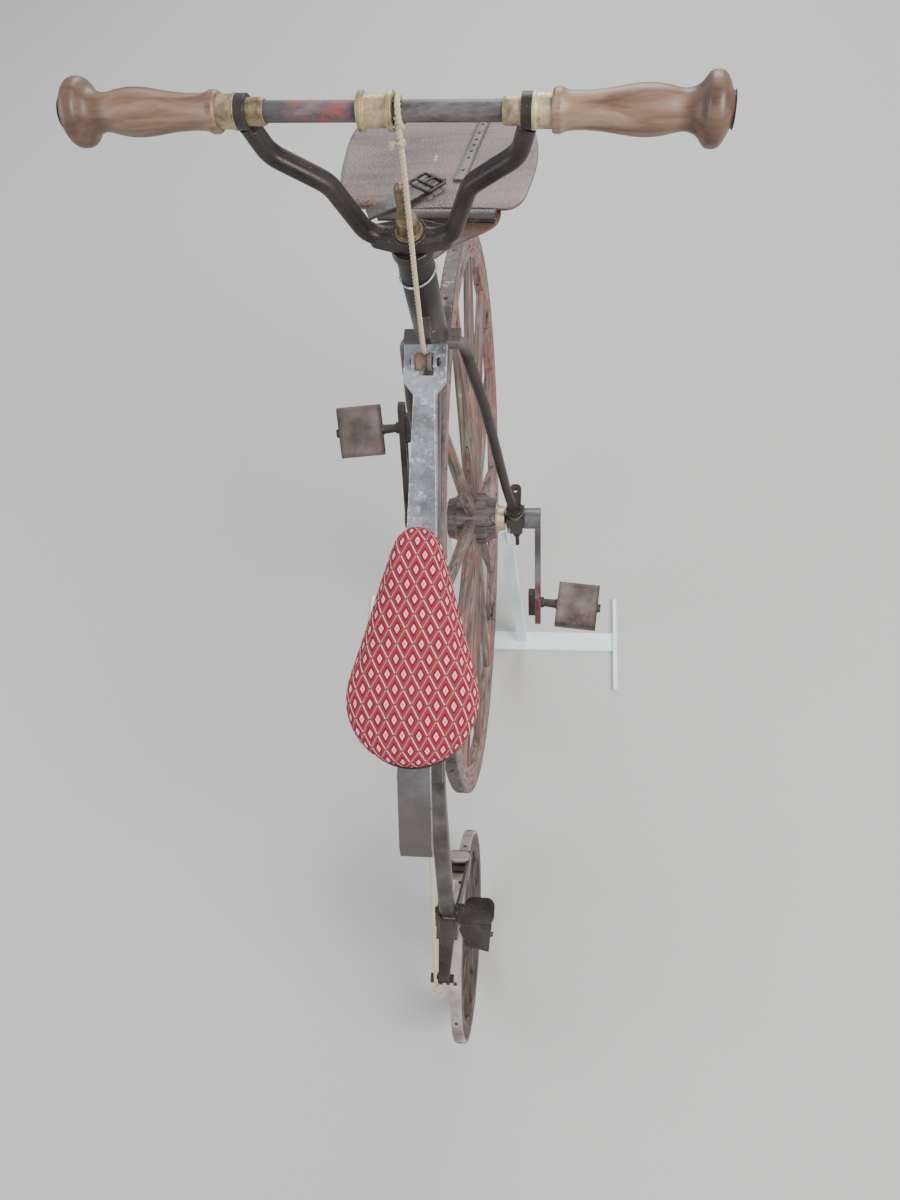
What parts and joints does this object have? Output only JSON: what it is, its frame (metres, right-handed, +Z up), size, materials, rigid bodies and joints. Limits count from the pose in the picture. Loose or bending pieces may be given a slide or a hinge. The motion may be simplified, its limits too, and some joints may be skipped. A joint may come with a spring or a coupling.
{
  "type": "high-wheel velocipede",
  "caption": "Early high-wheel velocipede with wooden wheels, slotted cranks, spring-mounted saddle and cord brake, parked on its display stand.",
  "frame": {"origin": "on the floor, under the middle of the whole object's box", "axes": "+X to the rider's right, +Y forward towards the big wheel, +Z up"},
  "size_m": [0.5974, 1.326, 1.4021],
  "materials": {
    "dark_iron": "aged, dull, lightly pitted",
    "rusty_iron": "rusty, worn",
    "tyre_iron": "rolled strip, dull, scuffed",
    "spring_steel": "worn bright at the edges, pitted",
    "brass": "dull, tarnished",
    "stand_paint": "satin paint, chipped",
    "worn_red_paint": "worn through to dark metal",
    "turned_wood": "polished, worn",
    "wheel_wood": "aged, traces of red paint",
    "pale_wood": "bare",
    "old_leather": "dry, creased",
    "saddle_cloth": "woven lozenge pattern",
    "hemp": "twisted cord"
  },
  "bodies": {
    "fork": {"fork": "dark_iron", "bearing_cap_left": "dark_iron", "bearing_cap_right": "dark_iron", "stand_bar": "stand_paint", "stand_tee_left": "stand_paint", "stand_tee_right": "stand_paint", "stand_upright_left": "stand_paint", "stand_upright_right": "stand_paint", "handlebar_arms": "dark_iron", "handlebar": "worn_red_paint", "bar_collar_left": "brass", "bar_collar_right": "brass", "ferrule_left": "brass", "ferrule_right": "brass", "grip_left": "turned_wood", "grip_right": "turned_wood", "cord_spool": "brass", "cord_winding": "hemp", "head_nut": "brass", "brake_cord_front": "hemp"},
    "frame": {"backbone": "dark_iron", "spring": "spring_steel", "cord_pulley": "spring_steel", "pulley_pin": "dark_iron", "saddle": "saddle_cloth", "saddle_base": "dark_iron", "saddle_clip_front": "dark_iron", "saddle_clip_rear": "dark_iron", "spring_stay": "dark_iron", "rear_fork": "dark_iron", "rear_axle": "dark_iron", "brake_pin": "dark_iron", "brake_lever": "dark_iron", "brake_shoe": "pale_wood", "step": "rusty_iron", "cord_roller": "dark_iron", "brake_cord_rear": "hemp", "leather_apron": "old_leather"},
    "front_wheel": {"front_tyre": "tyre_iron", "front_felloe": "wheel_wood", "front_spokes": "wheel_wood", "front_hub": "wheel_wood", "hub_ring_left": "brass", "hub_ring_right": "brass", "front_axle": "dark_iron", "crank_left": "dark_iron", "crank_right": "dark_iron", "pedal_pin_left": "dark_iron", "pedal_pin_right": "dark_iron"},
    "pedal_left": {"pedal_left": "rusty_iron"},
    "pedal_right": {"pedal_right": "rusty_iron"},
    "rear_wheel": {"rear_tyre": "tyre_iron", "rear_felloe": "wheel_wood", "rear_spokes": "wheel_wood", "rear_hub": "wheel_wood"}
  },
  "joints": [
    {"name": "steering", "type": "hinge", "parent": "fork", "child": "frame", "pos_m": [0, 0.183, 0.49], "axis": [0, -0.1219, 0.9925], "range_deg": [-40, 40], "deforming": ["brake_cord_front"]},
    {"name": "front_wheel_spin", "type": "hinge", "parent": "fork", "child": "front_wheel", "pos_m": [0, 0.183, 0.49], "axis": [-1, 0, 0], "continuous": true},
    {"name": "rear_wheel_spin", "type": "hinge", "parent": "frame", "child": "rear_wheel", "pos_m": [0, -0.485, 0.178], "axis": [-1, 0, 0], "continuous": true},
    {"name": "pedal_left_spin", "type": "hinge", "parent": "front_wheel", "child": "pedal_left", "pos_m": [-0.1203, 0.2835, 0.62337], "axis": [-0.9945, -0.1045, 0], "continuous": true},
    {"name": "pedal_right_spin", "type": "hinge", "parent": "front_wheel", "child": "pedal_right", "pos_m": [0.1203, 0.0825, 0.35663], "axis": [-0.9945, 0.1045, 0], "continuous": true}
  ]
}
